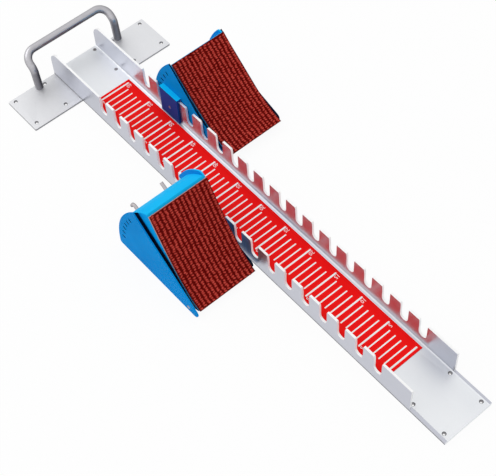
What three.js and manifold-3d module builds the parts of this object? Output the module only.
// Starting blocks: two adjustable foot blocks hooked on a notched aluminium rail
// Millimetres, +Z up, +Y towards the carry handle, so the runner starts towards -Y
// The origin is the centre of the cross plate's underside, on the track

import * as THREE from 'three';
import { mergeVertices } from 'three/addons/utils/BufferGeometryUtils.js';
import Module from 'manifold-3d';

const wasm = await Module();
wasm.setup();

const degree = Math.PI / 180;
const fullTurn = 2 * Math.PI;
const xAxis = new THREE.Vector3(1, 0, 0);
const yAxis = new THREE.Vector3(0, 1, 0);
const zAxis = new THREE.Vector3(0, 0, 1);

// Gaps and overruns
const seatGap = 0.3;
const cutOverrun = 6;

// Rail channel
const railLength = 811;
const railWidth = 81.5;
const railFloor = 5;
const railWall = 3.2;
const wallHeight = 44.2;
const rootFillet = 2;
const barePlateLength = 61;
const sawnRidge = 0.8;
const rearCornerRadius = 20;

// Notches in the rail's walls, counted from the front
const notchCount = 18;
const notchPitch = 33.1;
const notchWidth = 13.7;
const notchDepth = 30.6;
const notchLead = 57.6;
const notchMouthRadius = 1.6;

// Scale strip on the channel's floor
const scaleLength = 600;
const scaleMargin = 5.5;
const scaleWidth = 64.8;
const scaleThickness = 0.6;
const scaleLead = 55.5;

// Cross plate under the rail's rear end, and the foot strip that levels the front
const crossPlateWidth = 250;
const crossPlateDepth = 70.5;
const crossPlateThickness = 3;
const crossPlateCorner = 2;
const footStripWidth = 62;
const footStripDepth = 34;
const footStripLead = 19;

// Nail holes and the screws that hold the rail to the cross plate
const nailHoleRadius = 2;
const nailSinkRadius = 3;
const nailSinkDepth = 1;
const plateNailX = 116;
const plateNailHandleGap = 9.8;
const plateHoleEdge = 6.5;
const plateHoleSpacing = 53.5;
const railNailX = 32.5;
const railNailLead = 9.7;
const railNailSpacing = 53;
const railScrewX = 30.5;
const railScrewHeadRadius = 2.6;
const railScrewHeadDepth = 1.2;
const railScrewRadius = 1.5;
const railScrewReach = 7.4;

// Carry handle
const handleRodRadius = 6;
const handleSpan = 146.6;
const handleEdge = 6.8;
const handleLegAngle = 5.3;
const handleKneeHeight = 32.7;
const handleKneeRadius = 14;
const handleTopAngle = 54.1;
const handleTopReach = 20.2;
const handleCornerRadius = 17.25;
const handleScrewRadius = 2.5;
const handleScrewHeadRadius = 4.6;
const handleScrewHeadDepth = 2.2;
const handleScrewReach = 17;

// Foot block across the rail, from -X to +X: tall plate, housing, low plate, alike in both blocks
const sidePlate = 2;
const tallPlateGap = 4.9;
const housingWidth = 94.5;
const lowPlateGap = 2.4;
const frontBlockGap = 4.35;
const rearBlockGap = 1.25;

// Side plates' outlines about the pivot
const pivotHeight = 8;
const plateGroundGap = 1;
const sectorRadius = 147;
const tallTopAngle = 47.2;
const noseRadius = 8;
const noseReach = 19;
const lowTopAngle = 37.7;
const lowKneeReach = 38;
const lowKneeRise = 21;
const heelChamfer = 2;
const slotCount = 6;
const slotInset = 11;
const slotFirstAngle = 7.5;
const slotStepAngle = 5.6;
const studInset = 53.5;

// Pivot axle, its spacers and the rod that ties the side plates
const axleRadius = 3;
const spacerRadius = 6.5;
const tieRodRadius = 4;
const tieRodInset = 19;
const tieRodGroundGap = 2.5;

// Saddle that hooks the block over the rail's wall
const saddleLength = 40.5;
const saddleBehindStud = 9.2;
const saddleLeg = 3.4;
const saddleCap = 5.5;
const setScrewRadius = 2.5;
const setScrewHeight = 28;

// Housing and pad, measured from the pivot along the pad's chord and square to it
const lipBack = 9;
const lipRise = 15;
const padTopInset = 3.2;
const padSag = 9.2;
const padSagPlaceShare = 0.21;
const padInset = 0.5;
const padBase = 2;
const padRib = 1.4;
const padGroove = 1.3;
const padRowCount = 14;
const padBacking = 1;
const housingSheet = 2.5;
const housingInset = 4;
const cheekProud = 6;
const cheekCornerRadius = 8;
const housingEyeRadius = 7;
const housingSkirtAngle = -25.3;
const lowestPadAngle = 30.6;
const lockAngle = -23.1;

// Lock pins, their springs and the guide, measured across the housing from its outer side
const lockTravel = 8;
const bladeInset = 0.5;
const bladeLength = 11;
const bladeThickness = 2;
const bladeDepth = 5.5;
const pinRadius = 2.6;
const pullRadius = 2.5;
const pullProud = 11;
const pullElbowRadius = 4;
const pullElbowDrop = 5;
const outerPullPlace = 14.5;
const innerPullPlace = 62.5;
const collarRadius = 4;
const collarThickness = 1.4;
const collarLap = 1;
const guideStart = 26;
const guideLength = 24;
const guideEar = 2.5;
const guideDepth = 6.5;
const guideHalfHeight = 6;
const pinEndGap = 2.5;
const springWireRadius = 0.45;
const springTurns = 5;

// How finely round shapes are cut
const arcSteps = 4;
const roundSides = 12;
const wireSides = 5;
const stepsPerCurl = 8;
const padSteps = 10;
const handleSteps = 90;
const pullSteps = 8;
const sectorSteps = 10;

// Places that follow from the sizes above
const railRear = crossPlateDepth / 2;
const railFront = railRear - railLength;
const wallFront = railFront + barePlateLength;
const firstNotch = wallFront + notchLead;
const railBottom = crossPlateThickness;
const floorTop = railBottom + railFloor;
const wallTop = floorTop + wallHeight;
const wallOuter = railWidth / 2;
const wallInner = wallOuter - railWall;
const blockWidth = 2 * sidePlate + tallPlateGap + housingWidth + lowPlateGap;
const slotRadius = sectorRadius - slotInset;
const pivotToStud = sectorRadius - studInset;
const tieRodReach = sectorRadius - tieRodInset;
const housingDrop = padBase + padRib + seatGap + padBacking + seatGap;
const housingRadius = sectorRadius - housingInset;
const wallRadiusInner = housingRadius - housingSheet;
const cheekRadius = housingRadius + cheekProud;
const padTop = Math.sqrt((housingRadius - padTopInset) ** 2 - lipRise ** 2);
const padLength = padTop + lipBack;
const padWidth = housingWidth - padInset;

// Finishes
const finishes = {
  aluminium: { color: 0xe4e6ea, roughness: 0.32, metalness: 0.9 },
  steel: { color: 0x77727a, roughness: 0.35, metalness: 0.9 },
  screw: { color: 0x8d9096, roughness: 0.4, metalness: 0.9 },
  scale: { color: 0xff1414, roughness: 0.45, metalness: 0 },
  blue: { color: 0x1683dc, roughness: 0.4, metalness: 0.1 },
  deepBlue: { color: 0x0f5fb4, roughness: 0.45, metalness: 0.1 },
  pad: { color: 0x8f2a22, roughness: 0.85, metalness: 0 },
  backing: { color: 0xb9a9a6, roughness: 0.5, metalness: 0.3 },
  rubber: { color: 0x2a2a2c, roughness: 0.9, metalness: 0 },
  nylon: { color: 0x1d1f24, roughness: 0.6, metalness: 0 },
};

// Solids, made from closed three.js geometries

function signedVolume(positions, triangles) {
  const corner = (i) => new THREE.Vector3().fromArray(positions, 3 * triangles[i]);
  let sum = 0;
  for (let i = 0; i < triangles.length; i += 3) {
    sum += corner(i).dot(corner(i + 1).cross(corner(i + 2)));
  }
  return sum;
}

function solid(geometry) {
  const bare = geometry.clone();
  bare.deleteAttribute('normal');
  bare.deleteAttribute('uv');
  const merged = mergeVertices(bare);
  const positions = new Float32Array(merged.attributes.position.array);
  const index = merged.index.array;
  const triangles = [];
  for (let i = 0; i < index.length; i += 3) {
    const [a, b, c] = [index[i], index[i + 1], index[i + 2]];
    if (a !== b && b !== c && c !== a) triangles.push(a, b, c);
  }
  if (signedVolume(positions, triangles) < 0) triangles.reverse();
  const triVerts = new Uint32Array(triangles);
  return new wasm.Manifold(new wasm.Mesh({ numProp: 3, vertProperties: positions, triVerts }));
}

function geometryOf(body) {
  const mesh = body.getMesh();
  const geometry = new THREE.BufferGeometry();
  geometry.setAttribute('position', new THREE.BufferAttribute(mesh.vertProperties, mesh.numProp));
  geometry.setIndex(new THREE.BufferAttribute(mesh.triVerts, 1));
  const faceted = geometry.toNonIndexed();
  faceted.computeVertexNormals();
  return faceted;
}

function cutAll(body, cutters) {
  return cutters.reduce((rest, cutter) => rest.subtract(cutter), body);
}

function joinAll(bodies) {
  return bodies.reduce((sum, body) => sum.add(body));
}

// A shape drawn in y and z, extruded along x
function acrossX(shape, from, to, curveSegments = arcSteps) {
  const depth = to - from;
  const geometry = new THREE.ExtrudeGeometry(shape, { depth, bevelEnabled: false, curveSegments });
  geometry.applyMatrix4(new THREE.Matrix4().makeBasis(yAxis, zAxis, xAxis));
  geometry.translate(from, 0, 0);
  return solid(geometry);
}

// A shape drawn in x and z, extruded along y
function alongY(shape, from, to, curveSegments = arcSteps) {
  const depth = to - from;
  const geometry = new THREE.ExtrudeGeometry(shape, { depth, bevelEnabled: false, curveSegments });
  geometry.applyMatrix4(new THREE.Matrix4().makeBasis(xAxis, zAxis, yAxis.clone().negate()));
  geometry.translate(0, to, 0);
  return solid(geometry);
}

// A shape drawn in x and y, extruded upwards
function upwards(shape, from, to, curveSegments = arcSteps) {
  const depth = to - from;
  const geometry = new THREE.ExtrudeGeometry(shape, { depth, bevelEnabled: false, curveSegments });
  geometry.translate(0, 0, from);
  return solid(geometry);
}

function block(low, high) {
  const size = high.map((value, i) => value - low[i]);
  const middle = high.map((value, i) => (value + low[i]) / 2);
  const geometry = new THREE.BoxGeometry(...size);
  geometry.translate(...middle);
  return solid(geometry);
}

function rodX(radius, from, to, y, z, sides = roundSides) {
  const geometry = new THREE.CylinderGeometry(radius, radius, to - from, sides);
  geometry.rotateZ(fullTurn / 4);
  geometry.translate((from + to) / 2, y, z);
  return solid(geometry);
}

function roundedRectangle(width, depth, radius) {
  const [x, y] = [width / 2, depth / 2];
  const shape = new THREE.Shape();
  shape.absarc(x - radius, y - radius, radius, 0, fullTurn / 4, false);
  shape.absarc(radius - x, y - radius, radius, fullTurn / 4, fullTurn / 2, false);
  shape.absarc(radius - x, radius - y, radius, fullTurn / 2, 3 * fullTurn / 4, false);
  shape.absarc(x - radius, radius - y, radius, 3 * fullTurn / 4, fullTurn, false);
  return shape;
}

function ring(x, y, radius, sides) {
  return Array.from({ length: sides }, (_, i) => {
    const angle = (fullTurn * i) / sides;
    return new THREE.Vector2(x + radius * Math.cos(angle), y + radius * Math.sin(angle));
  });
}

// A round rod bent along a path
function rodAlong(path, radius, steps, sides) {
  const section = new THREE.Shape(ring(0, 0, radius, sides));
  const options = { steps, extrudePath: path, bevelEnabled: false };
  return solid(new THREE.ExtrudeGeometry(section, options));
}

// A solid turned about z, from its radii and heights
function turned(profile, sides = roundSides) {
  const points = profile.map(([radius, height]) => new THREE.Vector2(radius, height));
  const geometry = new THREE.LatheGeometry(points, sides);
  geometry.rotateX(fullTurn / 4);
  return solid(geometry);
}

// A round bend from one straight run to the next, as a cubic curve
function roundBend(start, startWay, endWay, radius) {
  const angle = startWay.angleTo(endWay);
  const reach = radius * Math.tan(angle / 2);
  const pull = (4 * radius * Math.tan(angle / 4)) / 3;
  const end = start.clone().addScaledVector(startWay, reach).addScaledVector(endWay, reach);
  const first = start.clone().addScaledVector(startWay, pull);
  const second = end.clone().addScaledVector(endWay, -pull);
  return new THREE.CubicBezierCurve3(start, first, second, end);
}

// The two ends of a stretch across the rail, on the side that a block stands
function span(side, near, far) {
  return side > 0 ? [near, far] : [-far, -near];
}

const part = new THREE.Group();

function addPiece(group, name, body, finish) {
  const mesh = new THREE.Mesh(geometryOf(body), new THREE.MeshStandardMaterial(finishes[finish]));
  mesh.name = name;
  group.add(mesh);
  return mesh;
}

// Rail channel: one extruded section, then milled notches, sawn front walls and round corners

function channelSection() {
  const shape = new THREE.Shape();
  shape.moveTo(-wallOuter, railBottom);
  shape.lineTo(wallOuter, railBottom);
  shape.lineTo(wallOuter, wallTop);
  shape.lineTo(wallInner, wallTop);
  const [filletX, filletZ] = [wallInner - rootFillet, floorTop + rootFillet];
  shape.absarc(filletX, filletZ, rootFillet, 0, -fullTurn / 4, true);
  shape.absarc(-filletX, filletZ, rootFillet, -fullTurn / 4, -fullTurn / 2, true);
  shape.lineTo(-wallInner, wallTop);
  shape.lineTo(-wallOuter, wallTop);
  return shape;
}

function notchShape(y) {
  const halfWidth = notchWidth / 2;
  const mouth = notchMouthRadius;
  const arcCentre = wallTop - notchDepth + halfWidth;
  const above = wallTop + cutOverrun;
  const shape = new THREE.Shape();
  shape.moveTo(y - halfWidth - mouth, above);
  shape.lineTo(y - halfWidth - mouth, wallTop);
  shape.quadraticCurveTo(y - halfWidth, wallTop, y - halfWidth, wallTop - mouth);
  shape.absarc(y, arcCentre, halfWidth, fullTurn / 2, fullTurn, false);
  shape.quadraticCurveTo(y + halfWidth, wallTop, y + halfWidth + mouth, wallTop);
  shape.lineTo(y + halfWidth + mouth, above);
  return shape;
}

function rearCornerShape() {
  const shape = new THREE.Shape();
  const [y, z] = [railRear - rearCornerRadius, wallTop - rearCornerRadius];
  shape.absarc(y, z, rearCornerRadius, fullTurn / 4, 0, true);
  shape.lineTo(railRear + cutOverrun, z);
  shape.lineTo(railRear + cutOverrun, wallTop + cutOverrun);
  shape.lineTo(y, wallTop + cutOverrun);
  return shape;
}

// A through hole with a shallow countersink at its top
function nailHole(x, y, bottom, top) {
  const hole = turned([
    [0, cutOverrun],
    [nailSinkRadius, cutOverrun],
    [nailSinkRadius, 0],
    [nailHoleRadius, -nailSinkDepth],
    [nailHoleRadius, bottom - top - cutOverrun],
    [0, bottom - top - cutOverrun],
  ]);
  return hole.translate([x, y, top]);
}

const plateHoleRear = crossPlateDepth / 2 - plateHoleEdge;
const plateHoleRows = [plateHoleRear, plateHoleRear - plateHoleSpacing];
const railNailRows = [railFront + railNailLead, railFront + railNailLead + railNailSpacing];
const bothSides = [-1, 1];

// A screw with a countersunk head, its head's face upwards at the given height
function countersunkScrew(headRadius, headDepth, shankRadius, reach) {
  return turned([
    [0, 0],
    [headRadius, 0],
    [shankRadius, -headDepth],
    [shankRadius, -reach],
    [0, -reach],
  ]);
}

// The room that a countersunk screw takes, with the seat gap all round
function screwRoom(headRadius, headDepth, shankRadius, reach) {
  return turned([
    [0, cutOverrun],
    [headRadius + seatGap, cutOverrun],
    [headRadius + seatGap, 0],
    [shankRadius + seatGap, -headDepth],
    [shankRadius + seatGap, -reach - seatGap],
    [0, -reach - seatGap],
  ]);
}

const railScrewSizes = [railScrewHeadRadius, railScrewHeadDepth, railScrewRadius, railScrewReach];
const railScrewTop = floorTop - seatGap;
const railScrewPlaces = plateHoleRows.flatMap((y) => bothSides.map((side) => [side * railScrewX, y]));

function railScrewRooms() {
  const room = screwRoom(...railScrewSizes);
  return railScrewPlaces.map(([x, y]) => room.translate([x, y, railScrewTop]));
}

function railChannel() {
  const cutters = [];
  for (let i = 0; i < notchCount; i += 1) {
    cutters.push(acrossX(notchShape(firstNotch + notchPitch * i), -railWidth, railWidth));
  }
  cutters.push(acrossX(rearCornerShape(), -railWidth, railWidth));
  const ridgeTop = floorTop + sawnRidge;
  const frontEnd = railFront - cutOverrun;
  cutters.push(block([-railWidth, frontEnd, ridgeTop], [railWidth, wallFront, wallTop + cutOverrun]));
  for (const y of railNailRows) {
    for (const side of bothSides) cutters.push(nailHole(side * railNailX, y, railBottom, floorTop));
  }
  return cutAll(alongY(channelSection(), railFront, railRear), [...cutters, ...railScrewRooms()]);
}

addPiece(part, 'rail_channel', railChannel(), 'aluminium');

// Scale strip: the red band whose zero line stands behind the bare plate

const scaleZero = wallFront + scaleLead;

function scaleStrip() {
  const low = [-scaleWidth / 2, scaleZero - scaleMargin, floorTop];
  const high = [scaleWidth / 2, scaleZero + scaleLength + scaleMargin, floorTop + scaleThickness];
  return block(low, high);
}

addPiece(part, 'scale_strip', scaleStrip(), 'scale');

// Cross plate: the wings that keep the rail level and take the nails

const handleY = crossPlateDepth / 2 - handleEdge;
const handleScrewSizes = [handleScrewHeadRadius, handleScrewHeadDepth, handleScrewRadius, handleScrewReach];
const handleFeet = bothSides.map((side) => side * handleSpan / 2);
const plateNailInnerX = handleSpan / 2 - plateNailHandleGap;

function handleScrew(x, sizes, maker) {
  return maker(...sizes).rotate([180, 0, 0]).translate([x, handleY, seatGap]);
}

function crossPlate() {
  const outline = roundedRectangle(crossPlateWidth, crossPlateDepth, crossPlateCorner);
  const cutters = railScrewRooms();
  for (const y of plateHoleRows) {
    for (const side of bothSides) {
      cutters.push(nailHole(side * plateNailX, y, 0, crossPlateThickness));
      cutters.push(nailHole(side * plateNailInnerX, y, 0, crossPlateThickness));
    }
  }
  for (const x of handleFeet) cutters.push(handleScrew(x, handleScrewSizes, screwRoom));
  return cutAll(upwards(outline, 0, crossPlateThickness), cutters);
}

addPiece(part, 'cross_plate', crossPlate(), 'aluminium');

railScrewPlaces.forEach(([x, y], i) => {
  const screw = countersunkScrew(...railScrewSizes).translate([x, y, railScrewTop]);
  addPiece(part, `rail_screw_${i + 1}`, screw, 'screw');
});

// Foot strip: as thick as the cross plate, so that the rail stands level

function footStrip() {
  const outline = roundedRectangle(footStripWidth, footStripDepth, crossPlateCorner);
  const y = railFront + footStripLead + footStripDepth / 2;
  return upwards(outline, 0, crossPlateThickness).translate([0, y, 0]);
}

addPiece(part, 'rail_foot_strip', footStrip(), 'rubber');

// Carry handle: a rod whose legs bend back at a knee, screwed on from below

function wayUp(angle) {
  return new THREE.Vector3(0, Math.sin(angle * degree), Math.cos(angle * degree));
}

function handlePath() {
  const [lower, upper] = [wayUp(handleLegAngle), wayUp(handleTopAngle)];
  const [lowerDown, upperDown] = [lower.clone().negate(), upper.clone().negate()];
  const plateTop = new THREE.Vector3(-handleSpan / 2, handleY, crossPlateThickness);
  const foot = plateTop.clone().addScaledVector(lower, -2 * handleRodRadius);
  const legLength = (handleKneeHeight - crossPlateThickness) / lower.z;
  const knee = roundBend(plateTop.clone().addScaledVector(lower, legLength), lower, upper, handleKneeRadius);
  const straight = handleTopReach - handleCornerRadius;
  const corner = roundBend(knee.v3.clone().addScaledVector(upper, straight), upper, xAxis, handleCornerRadius);
  const barEnd = corner.v3.clone().addScaledVector(xAxis, handleSpan - 2 * handleCornerRadius);
  const farCorner = roundBend(barEnd, xAxis, upperDown, handleCornerRadius);
  const farStraight = farCorner.v3.clone().addScaledVector(upperDown, straight);
  const farKnee = roundBend(farStraight, upperDown, lowerDown, handleKneeRadius);
  const farFoot = farKnee.v3.clone().addScaledVector(lowerDown, legLength + 2 * handleRodRadius);
  const path = new THREE.CurvePath();
  path.add(new THREE.LineCurve3(foot, knee.v0));
  path.add(knee);
  path.add(new THREE.LineCurve3(knee.v3, corner.v0));
  path.add(corner);
  path.add(new THREE.LineCurve3(corner.v3, barEnd));
  path.add(farCorner);
  path.add(new THREE.LineCurve3(farCorner.v3, farStraight));
  path.add(farKnee);
  path.add(new THREE.LineCurve3(farKnee.v3, farFoot));
  return path;
}

function carryHandle() {
  const low = [-handleSpan, handleY - handleSpan, -handleSpan];
  const high = [handleSpan, handleY + handleSpan, crossPlateThickness];
  const rooms = handleFeet.map((x) => handleScrew(x, handleScrewSizes, screwRoom));
  const rod = rodAlong(handlePath(), handleRodRadius, handleSteps, roundSides);
  return cutAll(rod, [block(low, high), ...rooms]);
}

addPiece(part, 'carry_handle', carryHandle(), 'steel');

handleFeet.forEach((x, i) => {
  addPiece(part, `handle_screw_${i + 1}`, handleScrew(x, handleScrewSizes, countersunkScrew), 'screw');
});

// Side plates: sectors about the pivot with a round nose, and the slots that set the pad's angle

function slotPath(angle) {
  const along = new THREE.Vector2(Math.cos(angle), Math.sin(angle));
  const square = new THREE.Vector2(-along.y, along.x);
  const middle = along.clone().multiplyScalar(slotRadius);
  const [a, b] = [bladeDepth / 2 + seatGap, bladeThickness / 2 + seatGap];
  const corner = (u, v) => middle.clone().addScaledVector(along, u).addScaledVector(square, v);
  return new THREE.Path([corner(-a, -b), corner(-a, b), corner(a, b), corner(a, -b)]);
}

function onSector(angle) {
  return new THREE.Vector2(Math.cos(angle * degree), Math.sin(angle * degree)).multiplyScalar(sectorRadius);
}

// The plate's outline: its top edge runs from the nose to its last point, then to the corner
function sidePlateShape(topAngle, nose, radius, edge) {
  const bottom = nose.y - radius;
  const reach = edge.clone().sub(nose);
  const edgeAngle = reach.angle() - Math.asin(radius / reach.length());
  const heelAngle = Math.asin((bottom + heelChamfer) / sectorRadius);
  const shape = new THREE.Shape();
  shape.moveTo(nose.x, bottom);
  shape.lineTo(sectorRadius * Math.cos(heelAngle) - heelChamfer, bottom);
  shape.absarc(0, 0, sectorRadius, heelAngle, topAngle * degree, false);
  shape.lineTo(edge.x, edge.y);
  shape.absarc(nose.x, nose.y, radius, edgeAngle + fullTurn / 4, 3 * fullTurn / 4, false);
  shape.holes.push(new THREE.Path(ring(0, 0, axleRadius + seatGap, roundSides)));
  for (let i = 0; i < slotCount; i += 1) {
    shape.holes.push(slotPath((slotFirstAngle + slotStepAngle * i) * degree));
  }
  return shape;
}

function tallPlateShape() {
  const nose = new THREE.Vector2(noseRadius - noseReach, plateGroundGap - pivotHeight + noseRadius);
  return sidePlateShape(tallTopAngle, nose, noseRadius, onSector(tallTopAngle));
}

function lowPlateShape() {
  const knee = new THREE.Vector2(lowKneeReach, lowKneeRise);
  return sidePlateShape(lowTopAngle, new THREE.Vector2(), pivotHeight - plateGroundGap, knee);
}

// Saddle: a leg inside the channel and a cap over the wall, welded to the inner side plate

function saddle(side, plateFace) {
  const legFar = wallInner - seatGap;
  const legNear = legFar - saddleLeg;
  const legBottom = floorTop + seatGap - pivotHeight;
  const capBottom = wallTop + seatGap - pivotHeight;
  const shape = new THREE.Shape();
  shape.moveTo(side * legNear, legBottom);
  shape.lineTo(side * (legFar - rootFillet), legBottom);
  shape.lineTo(side * legFar, legBottom + rootFillet);
  shape.lineTo(side * legFar, capBottom);
  shape.lineTo(side * plateFace, capBottom);
  shape.lineTo(side * plateFace, capBottom + saddleCap);
  shape.lineTo(side * legNear, capBottom + saddleCap);
  const middle = pivotToStud + saddleBehindStud;
  const body = alongY(shape, middle - saddleLength / 2, middle + saddleLength / 2);
  const [from, to] = span(side, legNear - cutOverrun, legFar + cutOverrun / 2);
  return body.subtract(rodX(setScrewRadius + seatGap, from, to, middle, setScrewHeight - pivotHeight));
}

// Pad and housing outlines: a hollow curve from the lip up to the top edge

function padCurve(drop) {
  const height = lipRise - drop;
  const start = new THREE.Vector2(-lipBack, height);
  const pull = new THREE.Vector2(padSagPlaceShare * padLength - lipBack, height - 2 * padSag);
  const end = new THREE.Vector2(padTop, height);
  return new THREE.QuadraticBezierCurve(start, pull, end).getPoints(padSteps);
}

function padSlab(drop, thickness, from, to) {
  const shape = new THREE.Shape([...padCurve(drop), ...padCurve(drop + thickness).reverse()]);
  return acrossX(shape, from, to);
}

// Rubber pad: a hollow slab with raised rows that run up the slope
function footPad(layout) {
  const left = layout.housing[0] + padInset;
  const rowPitch = (padWidth + padGroove) / padRowCount;
  const bodies = [padSlab(padRib, padBase, left, left + padWidth)];
  for (let i = 0; i < padRowCount; i += 1) {
    const from = left + rowPitch * i;
    bodies.push(padSlab(0, padRib + padBase / 2, from, from + rowPitch - padGroove));
  }
  return joinAll(bodies);
}

function padBackingSheet(layout) {
  const [left, right] = layout.housing;
  return padSlab(padBase + padRib + seatGap, padBacking, left + padInset, right);
}

// The housing's end outline, with a round corner at the pad's top edge
function housingOutline() {
  const shape = new THREE.Shape(padCurve(housingDrop));
  const skirt = housingSkirtAngle * degree;
  const cornerRise = lipRise - housingDrop - cheekCornerRadius;
  const cornerReach = Math.sqrt((cheekRadius - cheekCornerRadius) ** 2 - cornerRise ** 2);
  const cornerAngle = Math.atan2(cornerRise, cornerReach);
  shape.absarc(cornerReach, cornerRise, cheekCornerRadius, fullTurn / 4, cornerAngle, true);
  shape.absarc(0, 0, cheekRadius, cornerAngle, skirt - Math.asin(housingEyeRadius / cheekRadius), true);
  shape.absarc(0, 0, housingEyeRadius, skirt - fullTurn / 4, -fullTurn / 2, true);
  shape.lineTo(-lipBack, lipRise - housingDrop - housingSheet);
  return shape;
}

function housingHollow() {
  const drop = housingDrop + housingSheet;
  const left = -lipBack - cutOverrun;
  const skirt = 2 * housingSkirtAngle * degree;
  const shape = new THREE.Shape();
  shape.moveTo(left, lipRise - drop);
  for (const point of padCurve(drop)) shape.lineTo(point.x, point.y);
  const topAngle = Math.asin((lipRise - drop) / wallRadiusInner);
  shape.absarc(0, 0, wallRadiusInner, topAngle, skirt, true);
  shape.lineTo(left, wallRadiusInner * Math.sin(skirt));
  return shape;
}

// What is trimmed off behind the back sheet, so that only the +X cheek stands proud
function backTrim() {
  const skirt = housingSkirtAngle * degree;
  const shape = new THREE.Shape();
  shape.absarc(0, 0, cheekRadius + cutOverrun, 2 * skirt, -skirt, false);
  shape.absarc(0, 0, housingRadius, -skirt, 2 * skirt, true);
  return shape;
}

// A slot or opening that is square to the radius at the lock's place
function lockCutter(from, to, low, high, halfHeight) {
  const cutter = block([from, low, -halfHeight], [to, high, halfHeight]);
  return cutter.rotate([lockAngle, 0, 0]);
}

function placeFromOuterSide(layout, from, to) {
  const [left, right] = layout.housing;
  return layout.side < 0 ? [left + from, left + to] : [right - to, right - from];
}

function footHousing(layout) {
  const [left, right] = layout.housing;
  const solidHousing = acrossX(housingOutline(), left, right, sectorSteps);
  const trim = acrossX(backTrim(), left - cutOverrun, right - housingSheet, 2 * sectorSteps);
  const hollow = acrossX(housingHollow(), left + housingSheet, right - housingSheet, sectorSteps);
  const [low, high] = [slotRadius - bladeDepth / 2 - seatGap, slotRadius + bladeDepth / 2 + seatGap];
  const bore = rodX(axleRadius + seatGap, left - cutOverrun, right + cutOverrun, 0, 0);
  const cutters = [trim, hollow, bore];
  const bladeHalf = bladeThickness / 2 + seatGap;
  cutters.push(lockCutter(left - cutOverrun, right + cutOverrun, low, high, bladeHalf));
  const room = pullRadius + seatGap;
  const pullWays = [[outerPullPlace - lockTravel, outerPullPlace], [innerPullPlace, innerPullPlace + lockTravel]];
  for (const [first, last] of pullWays) {
    const [from, to] = placeFromOuterSide(layout, first - room, last + room);
    const outside = housingRadius + cutOverrun;
    cutters.push(lockCutter(from, to, wallRadiusInner - housingSheet / 2, outside, room));
  }
  return cutAll(solidHousing, cutters);
}

// Guide: a small bracket whose ears carry both lock pins

function lockGuide(layout) {
  const [from, to] = placeFromOuterSide(layout, guideStart, guideStart + guideLength);
  const back = Math.sqrt(wallRadiusInner ** 2 - guideHalfHeight ** 2) - seatGap;
  const front = slotRadius - guideDepth;
  const body = block([from, front, -guideHalfHeight], [to, back, guideHalfHeight]);
  const window = block(
    [from + guideEar, front + guideEar, -guideHalfHeight - cutOverrun],
    [to - guideEar, back + cutOverrun, guideHalfHeight + cutOverrun],
  );
  const bore = rodX(pinRadius + seatGap, from - cutOverrun, to + cutOverrun, slotRadius, 0);
  return cutAll(body, [window, bore]);
}

// Lock pin: a flat blade, a round rod, a collar for its spring and a finger pull
function lockPin(layout, tip, rodEnd, pullPlace, collarSide, bent) {
  const inward = Math.sign(rodEnd - tip);
  const stretch = (a, b) => placeFromOuterSide(layout, Math.min(a, b), Math.max(a, b));
  const bladeEnd = tip + inward * bladeLength;
  const [bladeFrom, bladeTo] = stretch(tip, bladeEnd + inward * pinRadius);
  const blade = block(
    [bladeFrom, slotRadius - bladeDepth / 2, -bladeThickness / 2],
    [bladeTo, slotRadius + bladeDepth / 2, bladeThickness / 2],
  );
  const rod = rodX(pinRadius, ...stretch(bladeEnd, rodEnd), slotRadius, 0);
  const collarEnd = pullPlace + collarSide * (pullRadius + collarThickness);
  const collarStart = pullPlace + collarSide * (pullRadius - collarLap);
  const collarWay = stretch(collarStart, collarEnd);
  const collar = rodX(collarRadius, ...collarWay, slotRadius, 0);
  const [x] = placeFromOuterSide(layout, pullPlace, pullPlace);
  const root = new THREE.Vector3(x, slotRadius, 0);
  const path = new THREE.CurvePath();
  const reach = housingRadius + pullProud - slotRadius;
  const straight = bent ? reach - pullElbowRadius - pullRadius : reach;
  const bendStart = root.clone().addScaledVector(yAxis, straight);
  path.add(new THREE.LineCurve3(root, bendStart));
  if (bent) {
    const down = zAxis.clone().negate();
    const bend = roundBend(bendStart, yAxis, down, pullElbowRadius);
    path.add(bend);
    path.add(new THREE.LineCurve3(bend.v3, bend.v3.clone().addScaledVector(down, pullElbowDrop)));
  }
  const pull = rodAlong(path, pullRadius, bent ? pullSteps : 1, roundSides);
  return joinAll([blade, rod, collar, pull]);
}

// Spring: one unbroken wire wound round the pin, between its collar and the guide

class Helix extends THREE.Curve {
  constructor(from, to, radius, turns) {
    super();
    this.from = from;
    this.to = to;
    this.radius = radius;
    this.turns = turns;
  }

  getPoint(t, target = new THREE.Vector3()) {
    const angle = fullTurn * this.turns * t;
    const x = this.from + (this.to - this.from) * t;
    return target.set(x, this.radius * Math.cos(angle), this.radius * Math.sin(angle));
  }
}

function leastTurnGap(curve, points) {
  const places = curve.getPoints(points);
  const apart = Math.floor(points / curve.turns / 2);
  let least = Infinity;
  for (let i = 0; i < places.length; i += 1) {
    for (let j = i + apart; j < places.length; j += 1) {
      least = Math.min(least, places[i].distanceTo(places[j]));
    }
  }
  return least - 2 * springWireRadius;
}

function lockSpring(name, layout, first, last) {
  const [from, to] = placeFromOuterSide(layout, first, last);
  const inset = springWireRadius + seatGap;
  const radius = pinRadius + seatGap + springWireRadius;
  const helix = new Helix(from + inset, to - inset, radius, springTurns);
  const steps = springTurns * stepsPerCurl;
  console.log(`${name}: least gap between turns ${leastTurnGap(helix, 4 * steps).toFixed(2)} mm`);
  return rodAlong(helix, springWireRadius, steps, wireSides).translate([0, slotRadius, 0]);
}

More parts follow.
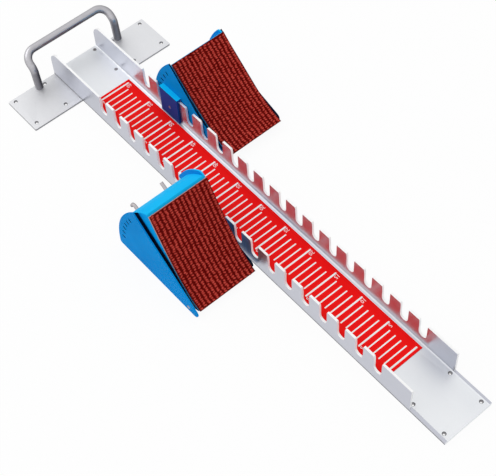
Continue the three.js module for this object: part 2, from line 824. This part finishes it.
// Where a block's pieces stand across the rail, and which plate is next to the rail
function layoutOf(side) {
  const start = side < 0 ? -wallOuter - frontBlockGap - blockWidth : wallOuter + rearBlockGap;
  const tallPlate = [start, start + sidePlate];
  const housing = [start + sidePlate + tallPlateGap, start + sidePlate + tallPlateGap + housingWidth];
  const lowPlate = [start + blockWidth - sidePlate, start + blockWidth];
  const plateFace = side < 0 ? wallOuter + frontBlockGap : wallOuter + rearBlockGap;
  return { side, start, tallPlate, housing, lowPlate, plateFace };
}

// One foot block: the frame that stays upright, and the housing group that tilts in it

function footBlock(prefix, side, notchIndex, slotIndex) {
  const layout = layoutOf(side);
  const { start, tallPlate, housing, lowPlate, plateFace } = layout;
  const [tallPlace, lowPlace] = side < 0 ? ['outer', 'inner'] : ['inner', 'outer'];
  const frame = new THREE.Group();
  const studY = firstNotch + notchPitch * notchIndex;
  frame.position.set(0, studY - pivotToStud, pivotHeight);
  const plate = acrossX(tallPlateShape(), ...tallPlate, sectorSteps);
  addPiece(frame, `${prefix}_${tallPlace}_side_plate`, plate, 'blue');
  const lowSidePlate = acrossX(lowPlateShape(), ...lowPlate, sectorSteps);
  addPiece(frame, `${prefix}_${lowPlace}_side_plate`, lowSidePlate, 'blue');
  addPiece(frame, `${prefix}_pivot_axle`, rodX(axleRadius, start, start + blockWidth, 0, 0), 'steel');
  const tieHeight = tieRodGroundGap + tieRodRadius - pivotHeight;
  const tie = rodX(tieRodRadius, tallPlate[1], lowPlate[0], tieRodReach, tieHeight);
  addPiece(frame, `${prefix}_tie_rod`, tie, 'blue');

  const spacers = [[tallPlace, tallPlate[1], housing[0]], [lowPlace, housing[1], lowPlate[0]]];
  for (const [place, low, high] of spacers) {
    const [from, to] = [low + seatGap, high - seatGap];
    const bore = rodX(axleRadius + seatGap, from - cutOverrun, to + cutOverrun, 0, 0);
    addPiece(frame, `${prefix}_${place}_spacer`, rodX(spacerRadius, from, to, 0, 0).subtract(bore), 'nylon');
  }

  addPiece(frame, `${prefix}_rail_saddle`, saddle(side, plateFace), 'deepBlue');
  const studRadius = notchWidth / 2 - seatGap;
  const studHeight = wallTop - notchDepth + notchWidth / 2 - pivotHeight;
  const studWay = span(side, wallInner - seatGap, plateFace);
  addPiece(frame, `${prefix}_locating_stud`, rodX(studRadius, ...studWay, pivotToStud, studHeight), 'steel');
  const screwWay = span(side, wallInner - seatGap - saddleLeg, wallInner - seatGap);
  const screwY = pivotToStud + saddleBehindStud;
  const setScrew = rodX(setScrewRadius, ...screwWay, screwY, setScrewHeight - pivotHeight);
  addPiece(frame, `${prefix}_set_screw`, setScrew, 'screw');

  const tilting = new THREE.Group();
  tilting.rotation.x = (lowestPadAngle + slotStepAngle * slotIndex) * degree;
  frame.add(tilting);
  addPiece(tilting, `${prefix}_foot_housing`, footHousing(layout), 'blue');
  addPiece(tilting, `${prefix}_pad_backing`, padBackingSheet(layout), 'backing');
  addPiece(tilting, `${prefix}_foot_pad`, footPad(layout), 'pad');

  const lock = new THREE.Group();
  lock.rotation.x = lockAngle * degree;
  tilting.add(lock);
  const guideEnd = guideStart + guideLength;
  const outerEnd = guideStart + guideLength / 2 - pinEndGap / 2;
  const innerEnd = outerEnd + pinEndGap;
  const innerTip = housingWidth - bladeInset;
  const outerPin = lockPin(layout, bladeInset, outerEnd, outerPullPlace, 1, true);
  const innerPin = lockPin(layout, innerTip, innerEnd, innerPullPlace, -1, false);
  addPiece(lock, `${prefix}_lock_guide`, lockGuide(layout), 'steel');
  addPiece(lock, `${prefix}_outer_lock_pin`, outerPin, 'steel');
  addPiece(lock, `${prefix}_inner_lock_pin`, innerPin, 'steel');
  const outerSpringName = `${prefix}_outer_lock_spring`;
  const innerSpringName = `${prefix}_inner_lock_spring`;
  const outerSeat = outerPullPlace + pullRadius + collarThickness;
  const innerSeat = innerPullPlace - pullRadius - collarThickness;
  addPiece(lock, outerSpringName, lockSpring(outerSpringName, layout, outerSeat, guideStart), 'screw');
  addPiece(lock, innerSpringName, lockSpring(innerSpringName, layout, guideEnd, innerSeat), 'screw');
  return frame;
}

// The front block stands nearer the start line, on the -X side
const frontNotch = 10;
const rearNotch = 15;
const frontSlot = 4;
const rearSlot = 1;
part.add(footBlock('front', -1, frontNotch, frontSlot));
part.add(footBlock('rear', 1, rearNotch, rearSlot));

export default part;
